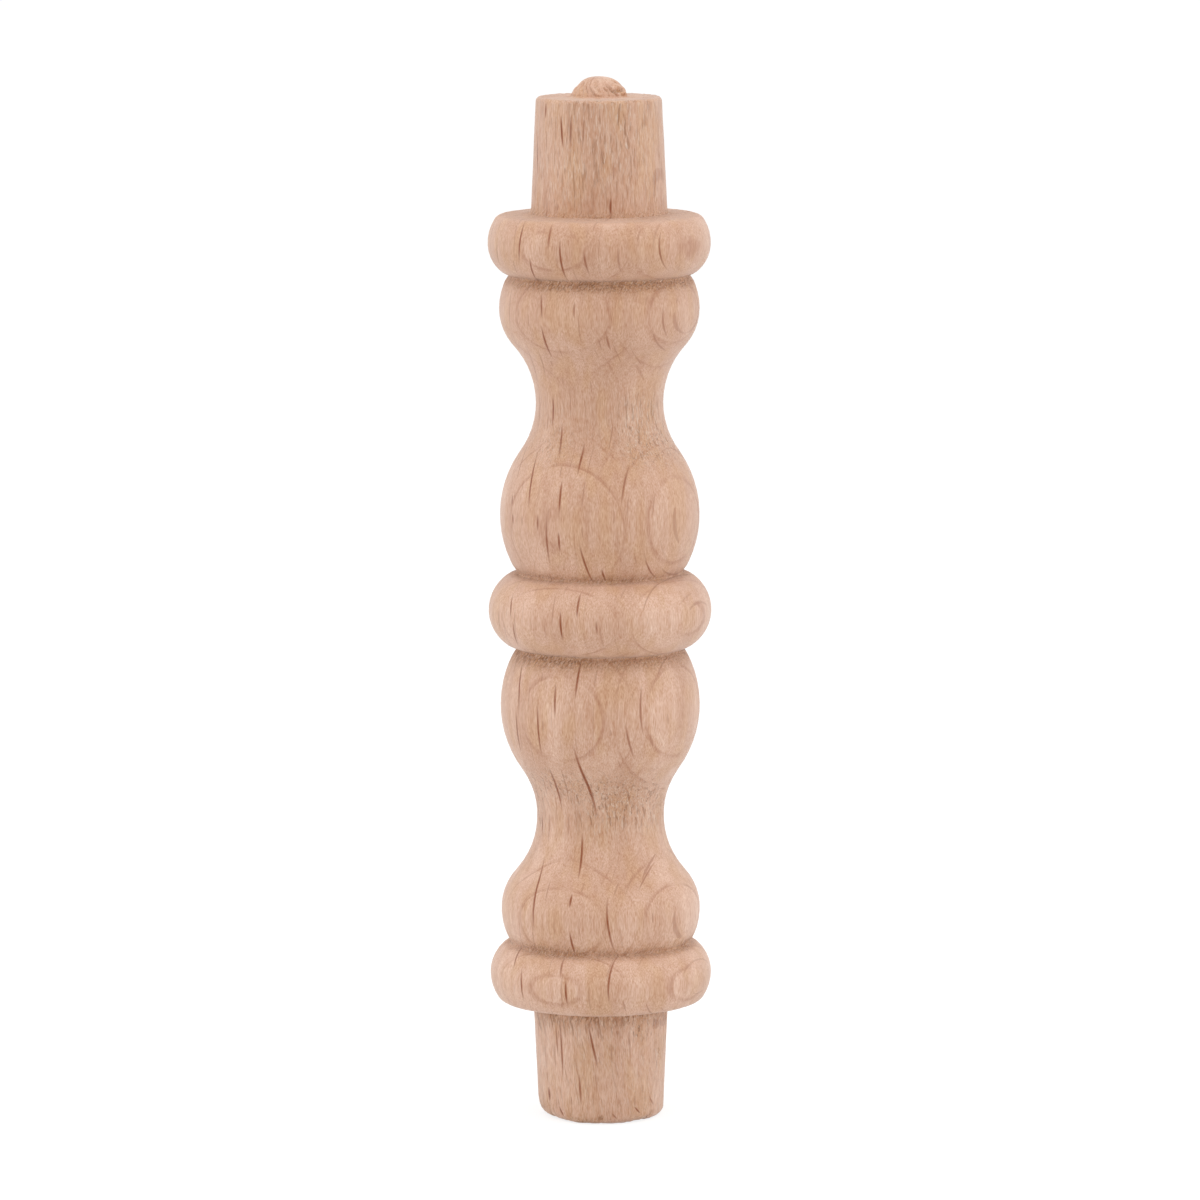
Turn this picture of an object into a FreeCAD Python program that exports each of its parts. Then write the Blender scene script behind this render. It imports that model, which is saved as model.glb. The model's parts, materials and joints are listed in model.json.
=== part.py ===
import FreeCAD, Part

import math
import os

# A small turned baluster in beech: one piece, turned between centres.
# Three beads, two vases and two balls stand on one axis, with a tapered round tenon at each end.
# Both halves are alike about the middle bead. The upper end keeps the stub where it was cut off.
# Millimetres. +Z runs up the axis from the centre of the lower tenon's end face.

# Diameters
MIDDLE_BEAD_DIA = 20.0
END_BEAD_DIA = 19.9
VASE_DIA = 17.9
BALL_DIA = 17.9
NECK_DIA = 11.4
INNER_QUIRK_DIA = 15.05
OUTER_QUIRK_DIA = 16.35
TENON_ROOT_DIA = 12.2
TENON_TIP_DIA = 11.25
STUB_DIA = 5.2

# Heights along the axis, from the middle bead outwards
MIDDLE_BEAD_HEIGHT = 6.95
VASE_FOOT_HEIGHT = 5.1
VASE_BELLY_HEIGHT = 5.75
VASE_COVE_HEIGHT = 4.3
BALL_COVE_HEIGHT = 5.15
BALL_BELLY_HEIGHT = 3.3
BALL_CROWN_HEIGHT = 2.95
END_BEAD_INNER_HEIGHT = 2.9
END_BEAD_OUTER_HEIGHT = 2.55
TENON_LENGTH = 10.5
STUB_HEIGHT = 1.75

# Flat ring around each tenon, and the rounded edges
SHOULDER_WIDTH = 2.9
SHOULDER_EDGE_RADIUS = 1.0
UPPER_END_EDGE_RADIUS = 0.5
LOWER_END_EDGE_RADIUS = 0.8

# Two points closer than this are the same point
SAME_PLACE = 1e-6


def point(radius, height):
    """A point of the outline: radius is the distance from the axis."""
    return FreeCAD.Vector(radius, 0, height)


def line(start, end):
    """A straight edge of the outline."""
    return Part.LineSegment(start, end).toShape()


def crest_arc(crest, end):
    """A round edge that runs along the axis at its crest and ends at the other point.

    The circle through both points has its centre level with the crest.
    """
    inset = crest.x - end.x
    rise = end.z - crest.z
    radius = (inset**2 + rise**2) / (2 * inset)
    half_turn = math.atan2(abs(rise), abs(radius) - abs(inset)) / 2
    middle = point(
        crest.x - radius * (1 - math.cos(half_turn)),
        crest.z + math.copysign(abs(radius) * math.sin(half_turn), rise),
    )
    return Part.Arc(crest, middle, end).toShape()


def ogee(belly, neck, belly_height):
    """A belly's arc and a neck's arc that meet smoothly, belly_height away from the belly.

    Both arcs run along the axis at their far ends, so they meet on the straight line between them.
    """
    share = belly_height / abs(neck.z - belly.z)
    turn = belly + (neck - belly) * share
    return [crest_arc(belly, turn), crest_arc(neck, turn)]


def outer_half():
    """The outline from the middle bead's quirk to the tenon's end, with heights from the middle."""
    height = MIDDLE_BEAD_HEIGHT / 2
    inner_quirk = point(INNER_QUIRK_DIA / 2, height)
    height += VASE_FOOT_HEIGHT
    vase = point(VASE_DIA / 2, height)
    height += VASE_BELLY_HEIGHT + VASE_COVE_HEIGHT
    neck = point(NECK_DIA / 2, height)
    height += BALL_COVE_HEIGHT + BALL_BELLY_HEIGHT
    ball = point(BALL_DIA / 2, height)
    height += BALL_CROWN_HEIGHT
    outer_quirk = point(OUTER_QUIRK_DIA / 2, height)
    height += END_BEAD_INNER_HEIGHT
    end_bead = point(END_BEAD_DIA / 2, height)
    height += END_BEAD_OUTER_HEIGHT
    shoulder = point(TENON_ROOT_DIA / 2 + SHOULDER_WIDTH, height)
    root = point(TENON_ROOT_DIA / 2, height)
    tip = point(TENON_TIP_DIA / 2, height + TENON_LENGTH)
    edges = [crest_arc(vase, inner_quirk)]
    edges += ogee(vase, neck, VASE_BELLY_HEIGHT)
    edges += ogee(ball, neck, BALL_BELLY_HEIGHT)
    edges += [
        crest_arc(ball, outer_quirk),
        crest_arc(end_bead, outer_quirk),
        crest_arc(end_bead, shoulder),
        line(shoulder, root),
        line(root, tip),
    ]
    return edges, shoulder, tip


def middle_bead():
    """The arc of the middle bead, from quirk to quirk."""
    quirk = point(INNER_QUIRK_DIA / 2, MIDDLE_BEAD_HEIGHT / 2)
    crest = point(MIDDLE_BEAD_DIA / 2, 0)
    return Part.Arc(mirrored(quirk), crest, quirk).toShape()


def mirrored(place):
    """The same point of the outline on the other side of the middle bead."""
    return point(place.x, -place.z)


def stub_edges(end_height):
    """The quarter ellipse of the cut-off stub, from the end face to the axis."""
    base = point(STUB_DIA / 2, end_height)
    top = point(0, end_height + STUB_HEIGHT)
    dome = Part.BezierCurve()
    dome.setPoles([base, point(base.x, top.z), top])
    dome.setWeight(2, math.sqrt(0.5))
    return [dome.toShape()], base, top


def ring_edge(solid, place):
    """The round edge of the solid that starts and ends at a point of the outline."""
    for edge in solid.Edges:
        if edge.isClosed() and edge.Vertexes[0].Point.isEqual(place, SAME_PLACE):
            return edge
    raise ValueError(f"the solid has no round edge at {place}")


def turned_baluster():
    """The outline turned about the axis, with its sharp ends and shoulders rounded."""
    upper, shoulder, tip = outer_half()
    middle = point(0, 0)
    along_axis = FreeCAD.Vector(0, 0, 1)
    lower = [edge.mirror(middle, along_axis) for edge in upper]
    stub, stub_base, stub_top = stub_edges(tip.z)
    foot = mirrored(tip)
    ends = [line(tip, stub_base), line(foot, point(0, foot.z))]
    axis = line(point(0, foot.z), stub_top)
    outline = Part.Wire(
        Part.__sortEdges__([*lower, middle_bead(), *upper, *ends, *stub, axis])
    )
    solid = Part.Face(outline).revolve(middle, along_axis, 360)
    roundings = [
        (SHOULDER_EDGE_RADIUS, shoulder),
        (SHOULDER_EDGE_RADIUS, mirrored(shoulder)),
        (UPPER_END_EDGE_RADIUS, tip),
        (LOWER_END_EDGE_RADIUS, foot),
    ]
    for radius, place in roundings:
        solid = solid.makeFillet(radius, [ring_edge(solid, place)])
    solid.translate(point(0, -foot.z))
    return solid


os.makedirs("parts", exist_ok=True)
baluster = turned_baluster()
baluster.exportStep("parts/turned_baluster.step")
print("volume", round(baluster.Volume, 1), "height", round(baluster.BoundBox.ZLength, 2))
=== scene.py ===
"""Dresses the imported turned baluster: bare beech straight from the lathe, in soft light on a pale floor.

The skin is one surface of revolution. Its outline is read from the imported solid, and fibres, torn
grain, chips and the torn stub are worked into it as small moves along the surface's normal.
The wood is a solid texture along the directions in which the tree grew, so the growth rings, the ray
flecks and the end grain come out where the lathe would lay them bare.
"""

import json
import logging
import math
from abc import ABC, abstractmethod
from dataclasses import dataclass
from enum import Enum

import bpy
import numpy as np
from mathutils import Matrix, Vector


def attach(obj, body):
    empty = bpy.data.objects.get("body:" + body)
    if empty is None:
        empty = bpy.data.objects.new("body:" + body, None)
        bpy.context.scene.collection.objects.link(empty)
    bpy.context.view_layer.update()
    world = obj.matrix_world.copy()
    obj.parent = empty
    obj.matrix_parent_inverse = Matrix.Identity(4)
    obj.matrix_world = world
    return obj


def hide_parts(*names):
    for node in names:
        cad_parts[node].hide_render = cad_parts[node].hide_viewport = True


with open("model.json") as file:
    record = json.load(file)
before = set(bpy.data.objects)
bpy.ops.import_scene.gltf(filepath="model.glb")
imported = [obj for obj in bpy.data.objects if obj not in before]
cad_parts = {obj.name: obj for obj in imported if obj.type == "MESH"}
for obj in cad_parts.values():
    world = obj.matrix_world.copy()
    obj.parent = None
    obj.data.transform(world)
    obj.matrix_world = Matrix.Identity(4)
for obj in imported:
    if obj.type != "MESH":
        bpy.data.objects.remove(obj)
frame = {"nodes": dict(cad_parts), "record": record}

LOG = logging.getLogger("turned_baluster")
MM = 0.001
FULL_TURN = 2.0 * math.pi
NODE = "turned_baluster"
BODY = "root"
SLOT = "beech"

Socket = bpy.types.NodeSocket
Outputs = bpy.types.NodeOutputs
Tree = bpy.types.NodeTree
Value = Socket | float
Share = np.ndarray | float
Span = tuple[float, float]
Size = tuple[float, float, float]
Colour = tuple[float, float, float]
Rgba = tuple[float, float, float, float]


class Side(Enum):
    """The side of the object on which a soft light hangs, as a direction towards the light."""

    LEFT = (-1.0, -0.12, 0.1)
    RIGHT = (1.0, -0.12, 0.1)
    ABOVE = (0.0, -0.15, 1.0)


class Mark(Enum):
    """A kind of mark in the wood that the skin carries as an attribute, under this name."""

    # Short torn fibres; at the quirks this share also carries painted shade.
    TORN = "torn"
    FRAYED = "frayed"


class Kind(Enum):
    """What a socket of a node group carries, as Blender's name for its type."""

    VALUE = "NodeSocketFloat"
    VECTOR = "NodeSocketVector"


def smooth_step(low: float, high: float, value: np.ndarray) -> np.ndarray:
    """Rises smoothly from 0 at low to 1 at high, and falls if low is the larger.

    Args:
        low: The value at which the result is 0.
        high: The value at which the result is 1.
        value: The values to grade.

    Returns:
        Numbers from 0 to 1, by the cubic 3t² - 2t³.
    """
    t = np.clip((value - low) / (high - low), 0.0, 1.0)
    return t * t * (3.0 - 2.0 * t)


def at_least(least: float, share: np.ndarray) -> np.ndarray:
    """Shares from 0 to 1, squeezed into the range from least to 1."""
    return least + (1.0 - least) * share


def grey(tone: float) -> Rgba:
    """An even grey, as a shader's socket holds it."""
    return (tone, tone, tone, 1.0)


def add_object(name: str, data: bpy.types.ID) -> bpy.types.Object:
    """Makes an object at the origin and puts it into the scene.

    Args:
        name: The object's name.
        data: Its mesh, camera or light.

    Returns:
        The object.
    """
    made = bpy.data.objects.new(name, data)
    bpy.context.scene.collection.objects.link(made)
    return made


@dataclass(frozen=True)
class WrappedNoise:
    """Smooth noise on a turned surface, with no seam where the turn closes.

    Attributes:
        around: Cells in one turn.
        cell: Height of a cell in metres.
        seed: Start of the random heights.
        span: Values at which a mask made from it is 0 and 1.
    """

    around: int
    cell: float
    seed: int
    span: Span = (-1.0, 1.0)

    def at(self, turn: np.ndarray, height: np.ndarray) -> np.ndarray:
        """Random heights at the corners of a lattice, joined by smooth steps in both directions.

        Args:
            turn: Place around the axis, in turns.
            height: Place along the axis, in metres.

        Returns:
            Numbers from -1 to 1, of the shape that turn and height have together.
        """
        turn, height = np.broadcast_arrays(turn, height)
        column = turn * self.around
        row = height / self.cell
        left = np.floor(column).astype(int)
        below = np.floor(row).astype(int)
        levels = int(below.max() - below.min()) + 2
        table = np.random.default_rng(self.seed).uniform(-1.0, 1.0, (levels, self.around))
        across = smooth_step(0.0, 1.0, column - left)
        up = smooth_step(0.0, 1.0, row - below)
        below = below - below.min()
        right = (left + 1) % self.around
        left = left % self.around
        low = table[below, left] * (1.0 - across) + table[below, right] * across
        high = table[below + 1, left] * (1.0 - across) + table[below + 1, right] * across
        return low * (1.0 - up) + high * up


@dataclass(frozen=True)
class FibreNoise:
    """A noise inside the wood, stretched along the grain. Lengths are in millimetres.

    Attributes:
        cell: Size of its cells towards the bark, across and along.
        detail: Number of finer layers.
        rough: Strength of each finer layer.
        span: Values at which a mask made from it is 0 and 1.
    """

    cell: Size
    detail: float = 1.0
    rough: float = 0.5
    span: Span = (0.0, 1.0)


@dataclass(frozen=True)
class Bulge:
    """One side to which the growth rings bulge. Lengths are in millimetres.

    Attributes:
        facing: Azimuth of that side, in degrees to the right of the front.
        start: Distance of one ring from the axis there, in the lower half.
        bend: How much further out the rings lie in the upper half.
    """

    facing: float
    start: float
    bend: float


@dataclass(frozen=True)
class Grain:
    """How the wood lay in the tree, and its fibres. Lengths are in millimetres.

    Attributes:
        facing: Azimuth of the side that faced the bark, in degrees to the right of the front.
        stray: How far the fibres stray from straight lines, towards the bark, across and along.
        slow: Pattern of that stray.
        bulges: The sides to which the growth rings bulge.
        bulge_reach: Distances across a bulge at which its rings are gone and start to fade.
        bend_span: Heights between which the rings bend outwards.
        ring_width: Distance between two growth rings.
        ring_curve: Radius of the rings about the heart of the tree.
        ring_rise: Places in a ring at which its boundary starts and is dark.
        ring_fall: Places in a ring at which its boundary is gone and starts to fade.
        late_power: How closely the late wood keeps to the boundary, as a power of the place in a ring.
        clear: Pattern of the stretches in which the boundaries show.
        clear_radius: Distances from the axis at which the boundaries start to show and are clear.
        fine: Pattern of the fine fibres.
        streak: Pattern of the wider streaks.
        tone: Pattern of the slow changes from plain to pale wood.
        hue: Pattern of the slow changes to yellower wood.
        paling: How much paler the wood gets with each millimetre towards the lower end.
        fresh_span: Heights between which the paler, freshly torn wood of the stub starts.
        fresh_share: How much paler that wood is.
        tear_lean: How far short tears lean across the grain with each millimetre along it.
        pit: Pattern of the dark pits in torn grain.
        fuzz: Pattern of the pale fuzz in torn grain.
        lean_end: Height at which long open fibres stand upright.
        lean: How much more they lean with each millimetre below it.
        slit: Pattern of the dark slits in frayed grain.
        splinter: Pattern of the pale splinters in frayed grain.
    """

    facing: float = -25.0
    stray: Size = (0.3, 0.45, 0.0)
    slow: FibreNoise = FibreNoise((11.0, 11.0, 11.0), detail=0.0)
    bulges: tuple[Bulge, ...] = (Bulge(-25.0, 6.45, 1.5), Bulge(55.0, 8.09, 0.15))
    bulge_reach: Span = (7.0, 5.0)
    bend_span: Span = (30.0, 75.0)
    ring_width: float = 1.62
    ring_curve: float = 70.0
    ring_rise: Span = (0.84, 0.955)
    ring_fall: Span = (0.999, 0.965)
    late_power: float = 3.0
    clear: FibreNoise = FibreNoise((2.6, 2.6, 7.0), span=(0.38, 0.57))
    clear_radius: Span = (5.9, 7.1)
    fine: FibreNoise = FibreNoise((0.085, 0.085, 0.75), detail=2.0, rough=0.6)
    streak: FibreNoise = FibreNoise((0.5, 0.5, 6.0), detail=2.0, rough=0.6)
    tone: FibreNoise = FibreNoise((3.2, 3.2, 14.0))
    hue: FibreNoise = FibreNoise((1.6, 1.6, 5.0))
    paling: float = 0.0035
    fresh_span: Span = (92.0, 92.5)
    fresh_share: float = 0.3
    tear_lean: float = 0.5
    pit: FibreNoise = FibreNoise((0.2, 0.17, 0.75), span=(0.52, 0.62))
    fuzz: FibreNoise = FibreNoise((0.13, 0.11, 0.3), span=(0.54, 0.66))
    lean_end: float = 94.0
    lean: float = 0.0012
    slit: FibreNoise = FibreNoise((0.25, 0.25, 2.6), detail=2.0, rough=0.6, span=(0.56, 0.66))
    splinter: FibreNoise = FibreNoise((0.12, 0.12, 0.9), span=(0.55, 0.67))


@dataclass(frozen=True)
class StrewnFlecks:
    """The ray flecks strewn through the wood. Lengths are in millimetres.

    Attributes:
        cell: Room that each fleck has towards the bark, across and along.
        short: Half the length of the shortest.
        longer: How much longer half the longest is.
        rare: How rare long ones are, as a power of the chance.
        thin: Half the width of the thinnest.
        wider: How much wider half the widest is.
        edge: Distances from a blade's edge at which its mask is 0 and 1.
        tip: Widths, as shares of the middle's, at which the tips end and are full.
        faint: Darkness of the faintest.
        darker: How much darker the darkest is.
        front: Share of them that shows in front, where the placed flecks are.
        back_span: Distances behind the axis between which the rest starts to show, in metres.
    """

    cell: Size = (9.0, 1.25, 4.6)
    short: float = 0.4
    longer: float = 1.5
    rare: float = 1.6
    thin: float = 0.03
    wider: float = 0.055
    edge: Span = (0.03, -0.02)
    tip: Span = (0.0, 0.25)
    faint: float = 0.15
    darker: float = 0.75
    front: float = 0.38
    back_span: Span = (-1.0 * MM, 4.0 * MM)


@dataclass(frozen=True)
class RayFleck:
    """One large ray fleck that shows on the front. Lengths are in millimetres.

    Attributes:
        azimuth: Degrees to the right of the front, at the fleck's middle.
        height: Height above the lower end, at the fleck's middle.
        length: Length along the grain.
        dark: How dark it is, from 0 to 1.
        drift: How much further to the right its lower end lies, across the grain.
        width: Width at the middle, on the surface.
    """

    azimuth: float
    height: float
    length: float
    dark: float = 0.8
    drift: float = 0.0
    width: float = 0.27


FRONT_FLECKS = (
    # Upper tenon
    RayFleck(-68, 87.1, 4.6, 0.9, 0.2),
    RayFleck(-55, 90.9, 1.6),
    RayFleck(-34, 89.1, 3.0, 0.9, 0.3),
    RayFleck(-25, 89.2, 3.0, 0.6),
    RayFleck(9, 82.6, 1.7, 0.9),
    # Upper end bead
    RayFleck(-45, 79.6, 3.8, 0.9, -0.3),
    RayFleck(-20, 78.1, 4.0, 0.9, 0.3),
    RayFleck(-39, 77.1, 2.5),
    RayFleck(-7, 78.0, 2.4, 0.6, 0.3),
    RayFleck(-27, 80.2, 2.4, 0.6),
    RayFleck(32, 78.8, 3.8, 0.7, 0.4),
    RayFleck(-66, 78.3, 2.6, 0.5),
    RayFleck(10, 78.2, 2.4, 0.4),
    # Upper ball and neck
    RayFleck(-35, 73.9, 2.4, 0.7, 0.2),
    RayFleck(-35, 70.7, 3.2, 0.9, 0.3),
    RayFleck(-14, 73.7, 1.6, 0.5),
    RayFleck(6, 70.8, 1.6, 0.6),
    RayFleck(39, 72.4, 3.1, 0.5),
    RayFleck(-46, 64.3, 3.0, 0.9),
    RayFleck(-33, 61.9, 3.0, 0.7, 0.2),
    # Upper vase
    RayFleck(-13, 60.3, 2.9),
    RayFleck(-48, 58.2, 5.0, 0.9, 0.2),
    RayFleck(16, 58.2, 3.7, 0.6),
    RayFleck(-24, 57.1, 3.1, 0.9, 0.1),
    RayFleck(-63, 56.3, 1.1, 0.7, 0.1, 0.34),
    RayFleck(-60, 54.7, 1.1, 0.7, 0.1, 0.34),
    RayFleck(-38, 54.7, 1.6, 0.7),
    RayFleck(-32, 53.2, 4.8, 0.7),
    RayFleck(-24, 53.1, 2.0),
    RayFleck(-9, 51.1, 4.1, 0.8, 0.6),
    RayFleck(2, 50.1, 1.3, 0.8),
    RayFleck(32, 50.5, 2.3, 0.7, 0.2),
    # Middle bead
    RayFleck(-54, 47.0, 2.2, 0.7, 0.2),
    RayFleck(-52, 44.6, 2.5, 0.7),
    RayFleck(-21, 45.8, 2.8, 0.9, 0.1),
    RayFleck(-12, 47.6, 2.3, 0.8, 0.1),
    RayFleck(-2, 45.7, 1.4, 0.5),
    # Lower vase
    RayFleck(-14, 40.8, 3.6),
    RayFleck(-56, 39.7, 4.7, 0.9, 0.5),
    RayFleck(-27, 38.9, 3.5, 0.7, 0.2),
    RayFleck(-57, 35.6, 4.4, 0.8, 0.1),
    RayFleck(-38, 36.1, 5.0, 0.8, 0.1),
    RayFleck(-10, 31.5, 7.4, 0.9, 0.9, 0.34),
    RayFleck(-36, 30.6, 4.6, 0.8, 0.5),
    RayFleck(24, 38.0, 4.9, 0.6, 0.3),
    RayFleck(17, 35.3, 3.6, 0.6, 0.3),
    # Lower neck and ball
    RayFleck(-64, 26.8, 2.3, 0.7, 0.2),
    RayFleck(-15, 24.6, 4.3, 0.9, 0.3),
    RayFleck(-44, 21.1, 6.8, 0.9, 0.1),
    RayFleck(-18, 20.9, 1.3, 0.9),
    RayFleck(5, 18.7, 5.6, 0.75, 0.7),
    RayFleck(-17, 17.1, 2.3, 0.9, 0.2),
    RayFleck(34, 22.7, 2.4, 0.5),
    # Lower end bead
    RayFleck(5, 14.1, 4.7, 0.75, 0.1),
    RayFleck(-57, 15.3, 2.2, 0.7, 0.1),
    RayFleck(-46, 13.1, 3.1, 0.8, 0.3),
    RayFleck(-22, 15.0, 1.7, 0.6, 0.2),
    RayFleck(-18, 12.9, 2.5, 0.9, 0.1),
    # Lower tenon
    RayFleck(-7, 7.3, 4.3, 0.8, 0.8),
    RayFleck(-37, 6.7, 5.8, 0.7, 0.2),
    RayFleck(-19, 3.3, 3.1, 0.7, 0.2),
    RayFleck(-55, 2.4, 1.4, 0.9, 0.2, 0.4),
    RayFleck(-42, 7.5, 3.1, 0.6, 0.2),
    # Chips at the lower end
    RayFleck(-39, 1.0, 1.0, 0.8, 0.5, 0.23),
    RayFleck(12, 0.8, 0.6, 0.6, 0.4, 0.23),
    RayFleck(33, 1.2, 0.8, 0.9, 0.6, 0.23),
    RayFleck(48, 1.75, 1.4, 0.6, 0.7, 0.21),
)


class Wiring:
    """Adds nodes to one node tree and joins them, so that a formula reads as a row of calls."""

    NUMBERS = ("LENGTH", "DOT_PRODUCT")
    # The Mix node has sockets for each type of data. These are the places of the colour's.
    MIX_SHARE = 0
    MIX_BELOW = 6
    MIX_ABOVE = 7
    MIX_RESULT = 2

    def __init__(self, tree: Tree) -> None:
        """Starts with the tree that the nodes go into."""
        self.tree = tree

    def add(self, kind: str, **settings: object) -> bpy.types.Node:
        """Adds a node.

        Args:
            kind: The node's type name in Blender.
            **settings: Properties of the node.

        Returns:
            The node.
        """
        node = self.tree.nodes.new(kind)
        for name, setting in settings.items():
            setattr(node, name, setting)
        return node

    def put(self, socket: Socket, value: object) -> None:
        """Joins another node's output to an input, or sets the input's own value.

        Args:
            socket: The input.
            value: The output or the value.
        """
        if isinstance(value, bpy.types.NodeSocket):
            self.tree.links.new(value, socket)
        else:
            socket.default_value = value

    def fill(self, node: bpy.types.Node, values: tuple[object, ...]) -> None:
        """Puts values or other nodes' outputs into a node's first inputs, in order."""
        for socket, value in zip(node.inputs, values):
            self.put(socket, value)

    def math(self, operation: str, *values: Value) -> Socket:
        """A sum, product or other operation on numbers.

        Args:
            operation: Name of the Math node's operation.
            *values: Its numbers or the outputs that give them.

        Returns:
            The result's output.
        """
        node = self.add("ShaderNodeMath", operation=operation)
        self.fill(node, values)
        return node.outputs[0]

    def vector(self, operation: str, *values: object) -> Socket:
        """An operation on vectors.

        Args:
            operation: Name of the Vector Math node's operation.
            *values: Its vectors or the outputs that give them.

        Returns:
            The result's output, a vector or a number.
        """
        node = self.add("ShaderNodeVectorMath", operation=operation)
        self.fill(node, values)
        return node.outputs["Value" if operation in self.NUMBERS else "Vector"]

    def split(self, vector: Socket) -> tuple[Socket, Socket, Socket]:
        """The three parts of a vector.

        Args:
            vector: The vector's output.

        Returns:
            The outputs of its parts.
        """
        node = self.add("ShaderNodeSeparateXYZ")
        self.put(node.inputs[0], vector)
        return node.outputs[0], node.outputs[1], node.outputs[2]

    def join(self, *parts: Value) -> Socket:
        """A vector from its three parts.

        Args:
            *parts: Numbers or the outputs that give them.

        Returns:
            The vector's output.
        """
        node = self.add("ShaderNodeCombineXYZ")
        self.fill(node, parts)
        return node.outputs[0]

    def noise(self, place: Socket, pattern: FibreNoise) -> Outputs:
        """A noise texture.

        Args:
            place: Where it is read.
            pattern: Its cells and layers.

        Returns:
            Its outputs: a value in the first, and three values as a colour in the second.
        """
        node = self.add("ShaderNodeTexNoise")
        self.put(node.inputs["Vector"], self.vector("DIVIDE", place, pattern.cell))
        self.put(node.inputs["Scale"], 1.0)
        self.put(node.inputs["Detail"], pattern.detail)
        self.put(node.inputs["Roughness"], pattern.rough)
        return node.outputs

    def mask(self, place: Socket, pattern: FibreNoise) -> Socket:
        """A noise texture's value as a mask from 0 to 1."""
        return self.step(self.noise(place, pattern)[0], *pattern.span)

    def nearest(self, place: Socket, cell: Size) -> tuple[Socket, Socket]:
        """The way from the nearest point of a Voronoi pattern.

        Args:
            place: Where it is read.
            cell: Size of its cells.

        Returns:
            The way as a vector, and three random numbers of that point as another.
        """
        cells = self.vector("DIVIDE", place, cell)
        texture = self.add("ShaderNodeTexVoronoi", voronoi_dimensions="3D", feature="F1")
        self.put(texture.inputs["Vector"], cells)
        self.put(texture.inputs["Scale"], 1.0)
        way = self.vector("SUBTRACT", cells, texture.outputs["Position"])
        return self.vector("MULTIPLY", way, cell), texture.outputs["Color"]

    def step(self, value: Value, low: Value, high: Value) -> Socket:
        """Rises smoothly from 0 to 1.

        Args:
            value: The number to grade.
            low: The number at which the result is 0.
            high: The number at which the result is 1.

        Returns:
            The result's output.
        """
        node = self.add("ShaderNodeMapRange", interpolation_type="SMOOTHSTEP")
        self.fill(node, (value, low, high))
        return node.outputs[0]

    def mix(self, share: Value, below: object, above: object, blend: str = "MIX") -> Socket:
        """Lays one colour over another.

        Args:
            share: How much of the upper colour shows, from 0 to 1.
            below: The lower colour.
            above: The upper colour.
            blend: Name of the Mix node's blend type.

        Returns:
            The mixed colour's output.
        """
        node = self.add("ShaderNodeMix", data_type="RGBA", blend_type=blend)
        self.put(node.inputs[self.MIX_SHARE], share)
        self.put(node.inputs[self.MIX_BELOW], below)
        self.put(node.inputs[self.MIX_ABOVE], above)
        return node.outputs[self.MIX_RESULT]

    def group(self, tree: Tree, **inputs: object) -> Outputs:
        """Places a node group.

        Args:
            tree: The group.
            **inputs: Values or outputs for its inputs, by name.

        Returns:
            The group's outputs.
        """
        node = self.add("ShaderNodeGroup", node_tree=tree)
        for name, value in inputs.items():
            self.put(node.inputs[name], value)
        return node.outputs


class Group:
    """A shader node group with named inputs and outputs."""

    def __init__(self, name: str, inputs: dict[str, Kind], outputs: dict[str, Kind]) -> None:
        """Makes the empty group.

        Args:
            name: The group's name.
            inputs: What each input carries.
            outputs: What each output carries.
        """
        self.tree = bpy.data.node_groups.new(name, "ShaderNodeTree")
        for direction, sockets in (("INPUT", inputs), ("OUTPUT", outputs)):
            for socket, kind in sockets.items():
                self.tree.interface.new_socket(socket, in_out=direction, socket_type=kind.value)
        self.wires = Wiring(self.tree)
        self.inputs = self.wires.add("NodeGroupInput").outputs
        self.outputs = self.wires.add("NodeGroupOutput").inputs

    @classmethod
    def of_grain(cls, name: str, *outputs: str) -> "Group":
        """Makes an empty group that turns a place in the tree into values."""
        return cls(name, {"Grain": Kind.VECTOR}, dict.fromkeys(outputs, Kind.VALUE))

    def give(self, name: str, value: Socket) -> None:
        """Joins a result to one of the group's outputs."""
        self.wires.put(self.outputs[name], value)


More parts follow.
